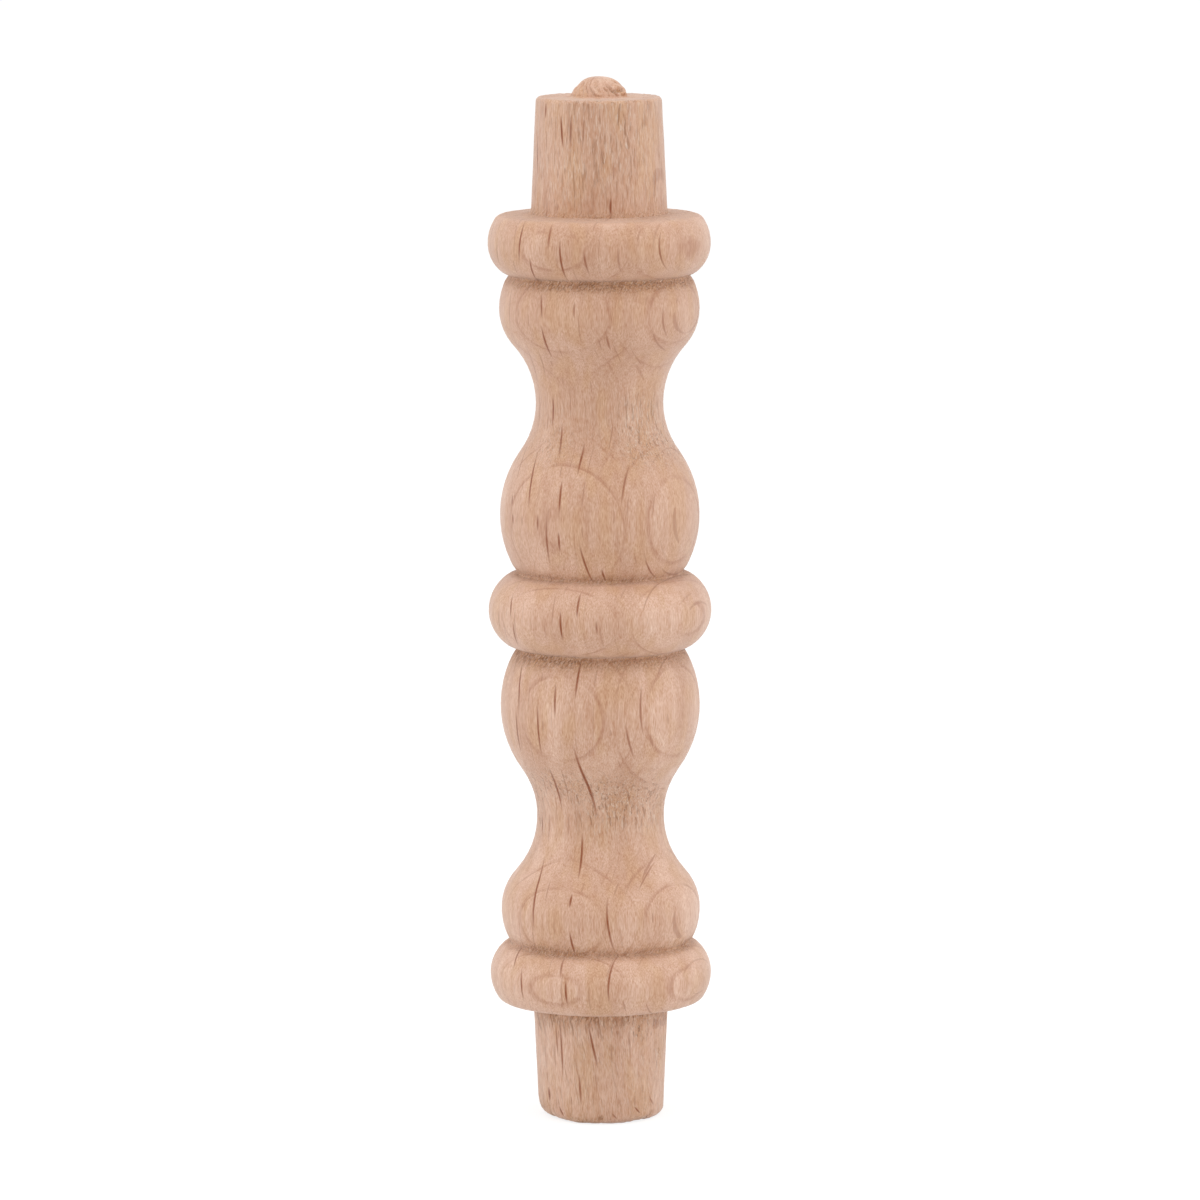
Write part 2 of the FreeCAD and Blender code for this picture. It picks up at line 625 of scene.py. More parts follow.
@dataclass(frozen=True)
class GrainGroups:
    """The node groups of the wood. All of them work in millimetres towards the bark, across and along.

    Attributes:
        grain: How the wood lay in the tree.
        strewn: The strewn ray flecks.
    """

    grain: Grain
    strewn: StrewnFlecks

    def axes(self) -> Tree:
        """Turns a place on the object into its place in the tree, with the slow stray of the fibres.

        Returns:
            The group, with the place in the tree as a vector.
        """
        group = Group("Grain axes", {"Place": Kind.VECTOR}, {"Grain": Kind.VECTOR})
        w = group.wires
        place = w.vector("DIVIDE", group.inputs["Place"], (MM, MM, MM))
        # Azimuths count from the front, a quarter turn before the x axis.
        turned = w.add("ShaderNodeMapping", vector_type="POINT")
        turned.inputs["Rotation"].default_value = (0.0, 0.0, math.radians(90.0 - self.grain.facing))
        w.put(turned.inputs["Vector"], place)
        slow = w.noise(place, self.grain.slow)[1]
        stray = w.vector("MULTIPLY", w.vector("SUBTRACT", slow, (0.5, 0.5, 0.5)), self.grain.stray)
        group.give("Grain", w.vector("ADD", turned.outputs[0], stray))
        return group.tree

    def rings(self) -> Tree:
        """Growth rings of a fluted stem, which bulge to more than one side and cross in between.

        Towards each side the distance from the axis, plus the curve of the rings, less their bend along the
        piece, is counted in rings. Its fraction is the place in the ring.

        Returns:
            The group, with the boundary between two rings as a mask and the late wood as a tone.
        """
        group = Group.of_grain("Growth rings", "Boundary", "Late wood")
        w = group.wires
        grain = group.inputs["Grain"]
        _, _, along = w.split(grain)
        bent = w.step(along, *self.grain.bend_span)
        radius = w.vector("LENGTH", w.vector("MULTIPLY", grain, (1.0, 1.0, 0.0)))
        clear = w.math("MULTIPLY", w.mask(grain, self.grain.clear), w.step(radius, *self.grain.clear_radius))
        boundary: Value = 0.0
        late: Value = 0.0
        for bulge in self.grain.bulges:
            turn = math.radians(bulge.facing - self.grain.facing)
            out = w.vector("DOT_PRODUCT", grain, (math.cos(turn), math.sin(turn), 0.0))
            aside = w.vector("DOT_PRODUCT", grain, (-math.sin(turn), math.cos(turn), 0.0))
            curve = w.math("DIVIDE", w.math("MULTIPLY", aside, aside), 2.0 * self.grain.ring_curve)
            inset = w.math("MULTIPLY_ADD", bent, bulge.bend, bulge.start)
            depth = w.math("SUBTRACT", w.math("ADD", out, curve), inset)
            part = w.math("FRACT", w.math("DIVIDE", depth, self.grain.ring_width))
            shown = w.step(w.math("ABSOLUTE", aside), *self.grain.bulge_reach)
            rise = w.step(part, *self.grain.ring_rise)
            line = w.math("MULTIPLY", rise, w.step(part, *self.grain.ring_fall))
            dense = w.math("POWER", part, self.grain.late_power)
            boundary = w.math("MAXIMUM", boundary, w.math("MULTIPLY", line, shown))
            late = w.math("MAXIMUM", late, w.math("MULTIPLY", dense, shown))
        group.give("Boundary", w.math("MULTIPLY", boundary, clear))
        group.give("Late wood", late)
        return group.tree

    def strewn_flecks(self) -> Tree:
        """Ray flecks strewn through the wood, one in each cell of a Voronoi pattern.

        A ray is a blade that stands along the grain and runs towards the bark. Across the grain it is as
        wide as 1 - u², where u runs from -1 at its lower tip to 1 at its upper tip.

        Returns:
            The group, with the flecks as a mask.
        """
        group = Group.of_grain("Strewn ray flecks", "Fleck")
        w = group.wires
        strewn = self.strewn
        way, chance = w.nearest(group.inputs["Grain"], strewn.cell)
        _, sideways, upwards = w.split(way)
        length, dark, width = w.split(chance)
        reach = w.math("MULTIPLY_ADD", w.math("POWER", length, strewn.rare), strewn.longer, strewn.short)
        tip = w.math("DIVIDE", upwards, reach)
        body = w.math("SUBTRACT", 1.0, w.math("MULTIPLY", tip, tip))
        half = w.math("MULTIPLY", body, w.math("MULTIPLY_ADD", width, strewn.wider, strewn.thin))
        outside = w.math("SUBTRACT", w.math("ABSOLUTE", sideways), half)
        mask = w.math("MULTIPLY", w.step(outside, *strewn.edge), w.step(body, *strewn.tip))
        shade = w.math("MULTIPLY_ADD", dark, strewn.darker, strewn.faint)
        group.give("Fleck", w.math("MULTIPLY", mask, shade))
        return group.tree

    def placed_fleck(self) -> Tree:
        """One ray fleck at a given place, a blade like the strewn ones.

        The mask falls from its darkness at the blade's middle by the squares of the ways across and along.

        Returns:
            The group, with the fleck as a mask that is negative outside the blade.
        """
        inputs = dict.fromkeys(("Grain", "Middle", "Across", "Along"), Kind.VECTOR)
        group = Group("Placed ray fleck", {**inputs, "Dark": Kind.VALUE}, {"Fleck": Kind.VALUE})
        w = group.wires
        way = w.vector("SUBTRACT", group.inputs["Grain"], group.inputs["Middle"])
        sideways = w.vector("DOT_PRODUCT", way, group.inputs["Across"])
        tip = w.vector("DOT_PRODUCT", way, group.inputs["Along"])
        fall = w.math("MULTIPLY_ADD", tip, tip, w.math("MULTIPLY", sideways, sideways))
        group.give("Fleck", w.math("SUBTRACT", group.inputs["Dark"], fall))
        return group.tree

    def fibres(self) -> Tree:
        """Fibres: noises stretched along the grain.

        Returns:
            The group, with the fine fibres, the wider streaks, and slow changes of tone and hue.
        """
        group = Group.of_grain("Fibres", "Fine", "Streak", "Tone", "Hue")
        w = group.wires
        grain = group.inputs["Grain"]
        group.give("Fine", w.noise(grain, self.grain.fine)[0])
        group.give("Streak", w.noise(grain, self.grain.streak)[0])
        _, _, height = w.split(grain)
        tone = w.math("MULTIPLY_ADD", height, -self.grain.paling, w.noise(grain, self.grain.tone)[0])
        fresh = w.step(height, *self.grain.fresh_span)
        group.give("Tone", w.math("MULTIPLY_ADD", fresh, self.grain.fresh_share, tone))
        group.give("Hue", w.noise(grain, self.grain.hue)[0])
        return group.tree

    def tears(self) -> Tree:
        """Torn and frayed fibres: noises stretched along leaning strokes.

        Returns:
            The group, with the short dark pits and the pale fuzz of torn grain, and with the long dark
            slits and the pale splinters of frayed grain.
        """
        group = Group.of_grain("Torn fibres", "Pit", "Fuzz", "Slit", "Splinter")
        w = group.wires
        bark, across, along = w.split(group.inputs["Grain"])
        short = w.join(bark, w.math("MULTIPLY_ADD", along, -self.grain.tear_lean, across), along)
        below = w.math("SUBTRACT", self.grain.lean_end, along)
        lean = w.math("MULTIPLY", w.math("MULTIPLY", below, below), -self.grain.lean)
        long = w.join(bark, w.math("ADD", across, lean), along)
        group.give("Pit", w.mask(short, self.grain.pit))
        group.give("Fuzz", w.mask(short, self.grain.fuzz))
        group.give("Slit", w.mask(long, self.grain.slit))
        group.give("Splinter", w.mask(long, self.grain.splinter))
        return group.tree


@dataclass(frozen=True)
class Layer:
    """One colour of the wood.

    Attributes:
        colour: The colour.
        share: How much of it shows where its mask is full, from 0 to 1.
    """

    colour: Colour
    share: float = 1.0

    def rgba(self) -> Rgba:
        """The colour as a shader's socket holds it."""
        return (*self.colour, 1.0)

    def over(self, w: Wiring, below: object, mask: Socket) -> Socket:
        """Lays the colour over another where a mask shows it."""
        return w.mix(w.math("MULTIPLY", mask, self.share), below, self.rgba())


@dataclass(frozen=True)
class BareBeech:
    """The finish of the baluster: bare beech, as it comes from the lathe.

    A pair named as a slope holds the number by which a value is multiplied and the one that is added.

    Attributes:
        grain: How the wood lay in the tree.
        strewn: The strewn ray flecks.
        plain: The plain wood.
        pale: The paler streaks.
        golden: The yellower streaks.
        late: The late wood.
        boundary_share: How much of the late wood's colour shows at the ring boundaries.
        stain_and_quirk_shade: The wood between pits and slits, where the grain is torn; at the quirks it is
            also painted shade in the creases.
        fuzz: Raised fibre ends.
        pit: Pits and slits.
        fleck: The ray flecks.
        tone_span: Values of the slow tone at which the wood is plain and pale.
        hue_span: Values of the slow hue at which the wood is red and golden.
        fine_slope: Slope from the fine fibres to their shade.
        streak_slope: Slope from the wider streaks to their shade.
        red_slope: Slope from the shade to its red part.
        blue_slope: Slope from the shade to its blue part.
        fleck_slope: Slope from the fine fibres to the strength of the flecks.
        fleck_side: Distances towards the bark at which placed flecks start to show and are clear, in mm.
        fleck_flank: Least share of a placed fleck's width that lies across the grain, on the flanks.
        roughness: Roughness of the plain wood.
        torn_roughness: How much rougher torn grain is.
        sheen: How much the fine fuzz of bare wood brightens it at its edges.
        relief: Depth of the fibres, in metres.
        fine_relief: Share of that depth that the fine fibres have.
        pit_relief: Share of it by which pits and slits lie deeper.
        fuzz_relief: Share of it by which raised fibres stand out.
    """

    grain: Grain = Grain()
    strewn: StrewnFlecks = StrewnFlecks()
    plain: Layer = Layer((0.605, 0.350, 0.232))
    pale: Layer = Layer((0.740, 0.472, 0.342), 0.85)
    golden: Layer = Layer((0.610, 0.345, 0.195), 0.68)
    late: Layer = Layer((0.420, 0.172, 0.088), 0.10)
    boundary_share: float = 0.46
    # The real stain of torn grain, which at the quirks also serves as painted shade in the creases.
    stain_and_quirk_shade: Layer = Layer((0.500, 0.232, 0.085), 0.5)
    fuzz: Layer = Layer((0.840, 0.650, 0.520), 0.7)
    pit: Layer = Layer((0.320, 0.118, 0.036), 0.7)
    fleck: Layer = Layer((0.265, 0.060, 0.006))
    tone_span: Span = (0.12, 0.62)
    hue_span: Span = (0.42, 0.7)
    fine_slope: Span = (1.4, 0.3)
    streak_slope: Span = (0.5, 0.75)
    red_slope: Span = (0.55, 0.45)
    blue_slope: Span = (1.35, -0.35)
    fleck_slope: Span = (1.9, 0.3)
    fleck_side: Span = (0.5, 1.4)
    fleck_flank: float = 0.2
    roughness: float = 0.5
    torn_roughness: float = 0.2
    sheen: float = 0.3
    relief: float = 0.05 * MM
    fine_relief: float = 0.6
    pit_relief: float = 1.1
    fuzz_relief: float = 0.6

    def material(self, flecks: list[tuple[RayFleck, float]]) -> bpy.types.Material:
        """Builds the material.

        Args:
            flecks: The placed ray flecks, each with the surface's radius there in millimetres.

        Returns:
            The material.
        """
        material = bpy.data.materials.new(SLOT)
        material.use_nodes = True
        w = Wiring(material.node_tree)
        shader = material.node_tree.nodes["Principled BSDF"]
        groups = GrainGroups(self.grain, self.strewn)
        place = w.add("ShaderNodeTexCoord").outputs["Object"]
        # The torn share also holds the painted shade at the quirks.
        torn, frayed = (w.add("ShaderNodeAttribute", attribute_name=m.value).outputs["Fac"] for m in Mark)
        grain = w.group(groups.axes(), Place=place)["Grain"]
        rings = w.group(groups.rings(), Grain=grain)
        fibres = w.group(groups.fibres(), Grain=grain)
        tears = w.group(groups.tears(), Grain=grain)
        dark = w.math("MULTIPLY", tears["Pit"], torn)
        dark = w.math("MAXIMUM", dark, w.math("MULTIPLY", tears["Slit"], frayed))
        light = w.math("MULTIPLY", tears["Fuzz"], torn)
        light = w.math("MAXIMUM", light, w.math("MULTIPLY", tears["Splinter"], frayed))
        strewn = self.strewn_flecks(w, place, w.group(groups.strewn_flecks(), Grain=grain)["Fleck"])
        fleck = w.math("MAXIMUM", strewn, self.placed_flecks(w, grain, groups.placed_fleck(), flecks))
        fleck = w.math("MULTIPLY", fleck, w.math("MULTIPLY_ADD", fibres["Fine"], *self.fleck_slope))
        w.put(shader.inputs["Base Color"], self.colour(w, rings, fibres, fleck, torn, dark, light))
        w.put(shader.inputs["Roughness"], w.math("MULTIPLY_ADD", torn, self.torn_roughness, self.roughness))
        w.put(shader.inputs["Sheen Weight"], self.sheen)
        height = w.math("MULTIPLY", fibres["Fine"], self.fine_relief)
        height = w.math("MULTIPLY_ADD", dark, -self.pit_relief, height)
        height = w.math("MULTIPLY_ADD", light, self.fuzz_relief, height)
        bump = w.add("ShaderNodeBump")
        bump.inputs["Distance"].default_value = self.relief
        w.put(bump.inputs["Height"], height)
        w.put(shader.inputs["Normal"], bump.outputs[0])
        return material

    def strewn_flecks(self, w: Wiring, place: Socket, mask: Socket) -> Socket:
        """Weakens the strewn ray flecks in front, where the placed ones are.

        Args:
            w: Wiring of the material.
            place: Place on the object.
            mask: Mask of the strewn flecks.

        Returns:
            The weakened mask's output.
        """
        _, back, _ = w.split(place)
        behind = w.step(back, *self.strewn.back_span)
        share = w.math("MULTIPLY_ADD", behind, 1.0 - self.strewn.front, self.strewn.front)
        return w.math("MULTIPLY", mask, share)

    def placed_flecks(
        self,
        w: Wiring,
        grain: Socket,
        tree: Tree,
        flecks: list[tuple[RayFleck, float]],
    ) -> Socket:
        """Joins the placed ray flecks into one mask: the largest of theirs, on the side that faced the bark.

        Args:
            w: Wiring of the material.
            grain: Place in the tree.
            tree: The node group of one fleck.
            flecks: The flecks, each with the surface's radius there in millimetres.

        Returns:
            The mask's output.
        """
        mask: Value = 0.0
        for fleck, radius in flecks:
            turn = math.radians(fleck.azimuth - self.grain.facing)
            middle = (radius * math.cos(turn), radius * math.sin(turn), fleck.height)
            depth = math.sqrt(fleck.dark)
            steep = 2.0 * depth / fleck.width
            flank = max(math.cos(turn), self.fleck_flank)
            across = (0.0, steep / flank, steep * fleck.drift / fleck.length)
            along = (0.0, 0.0, 2.0 * depth / fleck.length)
            shown = w.group(tree, Grain=grain, Middle=middle, Across=across, Along=along, Dark=fleck.dark)
            mask = w.math("MAXIMUM", mask, shown["Fleck"])
        bark = w.vector("DOT_PRODUCT", grain, (1.0, 0.0, 0.0))
        return w.math("MULTIPLY", mask, w.step(bark, *self.fleck_side))

    def colour(
        self,
        w: Wiring,
        rings: Outputs,
        fibres: Outputs,
        fleck: Socket,
        torn: Socket,
        dark: Socket,
        light: Socket,
    ) -> Socket:
        """Lays the wood's colours over each other, from the slow changes to the finest marks.

        Args:
            w: Wiring of the material.
            rings: Outputs of the growth rings.
            fibres: Outputs of the fibres.
            fleck: Mask of the ray flecks.
            torn: Share of torn grain, which at the quirks also holds painted shade.
            dark: Mask of the pits and slits.
            light: Mask of the raised fibres.

        Returns:
            The colour's output.
        """
        colour = self.pale.over(w, self.plain.rgba(), w.step(fibres["Tone"], *self.tone_span))
        colour = self.golden.over(w, colour, w.step(fibres["Hue"], *self.hue_span))
        colour = self.late.over(w, colour, rings["Late wood"])
        boundary = w.math("MULTIPLY", rings["Boundary"], self.boundary_share)
        colour = w.mix(boundary, colour, self.late.rgba())
        # Torn grain's stain; at the quirks it also paints the shade in the creases.
        colour = self.stain_and_quirk_shade.over(w, colour, torn)
        shade = w.math("MULTIPLY_ADD", fibres["Fine"], *self.fine_slope)
        shade = w.math("MULTIPLY", shade, w.math("MULTIPLY_ADD", fibres["Streak"], *self.streak_slope))
        red = w.math("MULTIPLY_ADD", shade, *self.red_slope)
        blue = w.math("MULTIPLY_ADD", shade, *self.blue_slope)
        colour = w.mix(1.0, colour, w.join(red, shade, blue), blend="MULTIPLY")
        colour = self.fuzz.over(w, colour, light)
        colour = self.pit.over(w, colour, dark)
        return w.mix(fleck, colour, self.fleck.rgba())


@dataclass(frozen=True)
class Outline:
    """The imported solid's outline, from the lower end's centre to the stub's top, in metres.

    Attributes:
        radius: Distance of each corner from the axis.
        height: Height of each corner.
    """

    # Corners of the solid's mesh that lie closer together than this count as one.
    GRID = 0.001 * MM
    # Number of heights among which hollows are sought.
    HOLLOW_LEVELS = 4000

    radius: np.ndarray
    height: np.ndarray

    @classmethod
    def read(cls) -> "Outline":
        """Reads the outline from the frame: every corner of the solid's mesh lies on it.

        Returns:
            The outline. Where it is level it runs outwards on the lower half and inwards on the upper half.
        """
        mesh = frame["nodes"][NODE].data
        places = np.empty(len(mesh.vertices) * 3)
        mesh.vertices.foreach_get("co", places)
        places = places.reshape(-1, 3)
        corners = np.stack([places[:, 2], np.hypot(places[:, 0], places[:, 1])], axis=1)
        corners = np.unique(np.round(corners / cls.GRID), axis=0) * cls.GRID
        height, radius = corners.T
        way = np.where(height < height.max() / 2.0, 1.0, -1.0)
        height, radius = corners[np.lexsort((way * radius, height))].T
        if radius[0] > 0.0:
            height = np.r_[height[0], height]
            radius = np.r_[0.0, radius]
        if radius[-1] > 0.0:
            height = np.r_[height, height[-1]]
            radius = np.r_[radius, 0.0]
        return cls(radius, height)

    def run(self) -> np.ndarray:
        """Length of the outline from its start to each corner."""
        return np.r_[0.0, np.cumsum(np.hypot(np.diff(self.radius), np.diff(self.height)))]

    def at(self, place: np.ndarray) -> tuple[np.ndarray, np.ndarray]:
        """Radius and height at lengths along the outline."""
        run = self.run()
        return np.interp(place, run, self.radius), np.interp(place, run, self.height)

    def hollows(self, low: float, high: float, count: int) -> tuple[float, ...]:
        """Heights of the sharpest hollows between two heights.

        Args:
            low: Lower height.
            high: Upper height.
            count: How many hollows are sought.

        Returns:
            Their heights, from the lowest up.
        """
        between = (self.height > low) & (self.height < high)
        levels = np.linspace(self.height[between][0], self.height[between][-1], self.HOLLOW_LEVELS)
        r = np.interp(levels, self.height[between], self.radius[between])
        bend = np.gradient(np.gradient(r, levels), levels)
        places = np.flatnonzero((r[1:-1] < r[:-2]) & (r[1:-1] <= r[2:])) + 1
        return tuple(np.sort(levels[places[np.argsort(bend[places])[-count:]]]))


@dataclass(frozen=True)
class Levels:
    """Heights of the baluster's landmarks above its lower end, in metres.

    Attributes:
        lower: The lower shoulder.
        upper: The upper shoulder.
        end: The upper tenon's end face, where the stub starts.
        quirks: The four quirks, from the lowest up.
    """

    QUIRK_COUNT = 4

    lower: float
    upper: float
    end: float
    quirks: tuple[float, ...]

    @classmethod
    def read(cls, outline: Outline) -> "Levels":
        """Takes the shoulders from the record's mounts and the quirks from the outline.

        Args:
            outline: The solid's outline.

        Returns:
            The landmarks. Both tenons are equally long.
        """
        mounts = {mount["name"]: mount["pos_m"][2] for mount in frame["record"]["mounts"]}
        lower = mounts["lower_shoulder"]
        upper = mounts["upper_shoulder"]
        quirks = outline.hollows(lower + MM, upper - MM, cls.QUIRK_COUNT)
        return cls(lower, upper, upper + lower, quirks)

    def from_quirk(self, height: np.ndarray) -> np.ndarray:
        """Distance of heights from the nearest quirk."""
        return np.min([np.abs(height - quirk) for quirk in self.quirks], axis=0)


@dataclass(frozen=True)
class Points:
    """Where the points of the skin lie before the marks.

    Attributes:
        turn: Place of each column around the axis, in turns to the right of the front.
        height: Height of each row, in metres.
        radius: Radius of each row, in metres.
    """

    turn: np.ndarray
    height: np.ndarray
    radius: np.ndarray

    def noise(self, pattern: WrappedNoise, lean: float = 0.0) -> np.ndarray:
        """Reads a pattern at the points, along lines that lean by so many turns a metre."""
        return pattern.at(self.turn + lean * self.height, self.height)

    def mask(self, pattern: WrappedNoise, lean: float = 0.0) -> np.ndarray:
        """Reads a pattern in the same way, as a mask from 0 to 1."""
        return smooth_step(*pattern.span, self.noise(pattern, lean))

    def from_ring(self, radius: float, height: float) -> np.ndarray:
        """Distance of the points from a ring around the axis."""
        return np.hypot(self.radius - radius, self.height - height)

    def right(self) -> np.ndarray:
        """Where the points lie from left to right: the sine of the azimuth, from -1 to 1."""
        return np.sin(FULL_TURN * self.turn)


@dataclass(frozen=True)
class Marks:
    """What the lathe left at each point of the skin.

    Attributes:
        depth: How far the point lies under the turned form, in metres.
        torn: Share of short torn fibres, from 0 to 1; at the quirks it also carries painted shade.
        frayed: Share of long open fibres, from 0 to 1.
    """

    depth: Share = 0.0
    torn: Share = 0.0
    frayed: Share = 0.0

    def with_more(self, other: "Marks") -> "Marks":
        """Both marks together: depths add up, and the larger share of each kind of fibre counts.

        Args:
            other: The other marks.

        Returns:
            The marks together.
        """
        torn = np.maximum(self.torn, other.torn)
        frayed = np.maximum(self.frayed, other.frayed)
        return Marks(self.depth + other.depth, torn, frayed)


class Stretch(ABC):
    """A stretch of the baluster on which the lathe left marks of its own. Lengths are in metres."""

    @abstractmethod
    def marks(self, levels: Levels, at: Points) -> Marks:
        """Works out the marks on this stretch.

        Args:
            levels: The baluster's landmarks.
            at: The points of the skin.

        Returns:
            The marks at each row and column.
        """


@dataclass(frozen=True)
class LowerTenon(Stretch):
    """The lower tenon: leaning fibres, torn deeper towards the shoulder, with a few long slits.

    Attributes:
        fade: How far past the shoulder the marks fade out, up and down.
        side: Radii between which the end face ends and the side starts.
        root: Distances under the shoulder at which the root's tears start and are full.
        corner: Distances under the shoulder at which short torn fibres start and are full.
        lean: Lean of the fibres, in turns a metre.
        fibre: Pattern of the fibres.
        tear: Pattern of the tears.
        slit: Pattern of the slits.
        fibre_depth: Depth of the fibres.
        tear_depth: Depth of the deepest tears.
        slit_depth: Depth of the slits, as a share of that.
        frayed: Share of long open fibres at the end.
        root_frayed: How much more of them the root has.
        slit_frayed: How much more of them the slits have.
        torn: Least share of short torn fibres in the corner.
    """

    fade: float = 0.2 * MM
    side: Span = (2.0 * MM, 5.0 * MM)
    root: Span = (3.4 * MM, 0.8 * MM)
    corner: Span = (2.2 * MM, 0.4 * MM)
    lean: float = 4.0
    fibre: WrappedNoise = WrappedNoise(120, 2.4 * MM, 5)
    tear: WrappedNoise = WrappedNoise(70, 1.4 * MM, 8, (0.1, 0.8))
    slit: WrappedNoise = WrappedNoise(52, 2.8 * MM, 9, (0.6, 0.9))
    fibre_depth: float = 0.05 * MM
    tear_depth: float = 0.12 * MM
    slit_depth: float = 0.7
    frayed: float = 0.35
    root_frayed: float = 0.5
    slit_frayed: float = 0.7
    torn: float = 0.7

    def marks(self, levels: Levels, at: Points) -> Marks:
        """Fibres everywhere, and the deeper of the root's tears and the slits on top of them.

        Args:
            levels: The baluster's landmarks.
            at: The points of the skin.

        Returns:
            The marks at each row and column.
        """
        under = levels.lower - at.height
        tenon = smooth_step(-self.fade, self.fade, under)
        side = smooth_step(*self.side, at.radius)
        root = smooth_step(*self.root, under)
        corner = smooth_step(*self.corner, under)
        fibre = 0.5 * (1.0 + at.noise(self.fibre, self.lean))
        tear = at.mask(self.tear, self.lean)
        slit = at.mask(self.slit, self.lean)
        deepest = np.maximum(root * tear, self.slit_depth * slit)
        depth = tenon * side * (self.fibre_depth * fibre + self.tear_depth * deepest)
        torn = tenon * side * corner * at_least(self.torn, tear)
        frayed = np.clip(self.frayed + self.root_frayed * root + self.slit_frayed * slit, 0.0, 1.0)
        return Marks(depth, torn, tenon * frayed)


@dataclass(frozen=True)
class UpperTenon(Stretch):
    """The upper tenon: straight open fibres, with a small fuzzy collar in the corner at the shoulder.

    Attributes:
        fade: How far past the shoulder the marks fade out, up and down.
        side: Radii between which the end face ends and the side starts.
        root: Height over the shoulder up to which short fibres are torn.
        root_radius: Radius of the tenon at the shoulder.
        fibre: Pattern of the fibres.
        tear: Pattern of the tears.
        patch: Pattern of the rougher patches.
        fibre_depth: Depth of the fibres.
        fibre_share: Share of that depth around which they wave.
        tear_share: Share of it that the tears add.
        collar_height: How far the collar fills the corner.
        collar_reach: How far the collar reaches from the corner.
        collar_wave: How much the fibres make the collar wave.
        corner: Distances from the corner at which short torn fibres start and are full.
        torn: Share of short torn fibres in the corner.
        frayed: Least share of long open fibres.
        patch_frayed: How much more of them the patches and the tears have.
    """

    fade: float = 0.2 * MM
    side: Span = (2.8 * MM, 5.0 * MM)
    root: float = 1.2 * MM
    root_radius: float = 6.1 * MM
    fibre: WrappedNoise = WrappedNoise(130, 2.2 * MM, 21)
    tear: WrappedNoise = WrappedNoise(84, 1.6 * MM, 22, (0.45, 0.9))
    patch: WrappedNoise = WrappedNoise(6, 4.5 * MM, 26, (-0.6, 0.5))
    fibre_depth: float = 0.05 * MM
    fibre_share: float = 0.4
    tear_share: float = 0.6
    collar_height: float = 0.16 * MM
    collar_reach: float = 0.6 * MM
    collar_wave: float = 0.3
    corner: Span = (0.8 * MM, 0.2 * MM)
    torn: float = 0.6
    frayed: float = 0.3
    patch_frayed: float = 0.35

    def marks(self, levels: Levels, at: Points) -> Marks:
        """Fibres and tears go inwards, and the collar stands out from the corner.

        Args:
            levels: The baluster's landmarks.
            at: The points of the skin.

        Returns:
            The marks at each row and column.
        """
        over = at.height - levels.upper
        tenon = smooth_step(-self.fade, self.fade, over) * smooth_step(*self.side, at.radius)
        fibre = at.noise(self.fibre)
        tear = at.mask(self.tear)
        depth = self.fibre_depth * (self.fibre_share * (1.0 + fibre) + self.tear_share * tear)
        away = at.from_ring(self.root_radius, levels.upper)
        collar = smooth_step(self.collar_reach, 0.0, away) * (1.0 + self.collar_wave * fibre)
        torn = np.maximum(tenon * smooth_step(self.root, 0.0, over), smooth_step(*self.corner, away))
        frayed = self.frayed + self.patch_frayed * (at.mask(self.patch) + tear)
        return Marks(tenon * depth - self.collar_height * collar, self.torn * torn, tenon * frayed)


@dataclass(frozen=True)
class QuirkBand:
    """The band of torn grain and painted shade at one quirk.

    Attributes:
        under: Its height under the quirk.
        over: Its height over the quirk.
        share: Share of torn fibres and painted shade in it.
    """

    under: float
    over: float
    share: float


@dataclass(frozen=True)
class Quirks(Stretch):
    """The quirks: short leaning tears beside them, in patches, and a crease from the tool's point.

    Attributes:
        torn_and_shaded_bands: The bands of torn grain and painted shade, from the lowest quirk up.
        full: Share of a band's height in which the grain is torn most and the painted shade is darkest.
        lean: Lean of the tears, in turns a metre.
        short: Pattern of the tears.
        patch: Pattern of the patches.
        depth: Depth of the tears.
        crease_depth: How much deeper the tool's point cut the quirks.
        crease_reach: How far from a quirk its crease reaches.
        torn: Least share of torn fibres and painted shade outside the patches.
    """

    torn_and_shaded_bands: tuple[QuirkBand, ...] = (
        QuirkBand(0.5 * MM, 1.0 * MM, 0.75),
        QuirkBand(1.2 * MM, 0.4 * MM, 1.0),
        QuirkBand(0.3 * MM, 0.8 * MM, 0.65),
        QuirkBand(1.1 * MM, 0.4 * MM, 0.85),
    )
    full: float = 0.3
    lean: float = -9.0
    short: WrappedNoise = WrappedNoise(192, 0.6 * MM, 11)
    patch: WrappedNoise = WrappedNoise(11, 6.0 * MM, 12, (-0.8, 0.5))
    depth: float = 0.10 * MM
    crease_depth: float = 0.07 * MM
    crease_reach: float = 0.35 * MM
    torn: float = 0.65

    def marks(self, levels: Levels, at: Points) -> Marks:
        """Tears and painted shade in each band, which fade with the distance from the quirk, and the
        creases.

        Args:
            levels: The baluster's landmarks.
            at: The points of the skin.

        Returns:
            The marks at each row and column.
        """
        # The band is torn grain and painted shade: its stain darkens the skin most right at each quirk.
        band = np.zeros_like(at.height)
        for quirk, torn in zip(levels.quirks, self.torn_and_shaded_bands):
            over = at.height - quirk
            way = np.where(over < 0.0, -over / torn.under, over / torn.over)
            band = np.maximum(band, torn.share * smooth_step(1.0, self.full, way))
        crease = smooth_step(self.crease_reach, 0.0, levels.from_quirk(at.height))
        short = 0.5 * (1.0 + at.noise(self.short, self.lean))
        patch = at.mask(self.patch)
        depth = self.depth * band * patch * short + self.crease_depth * crease
        return Marks(depth, band * at_least(self.torn, patch))


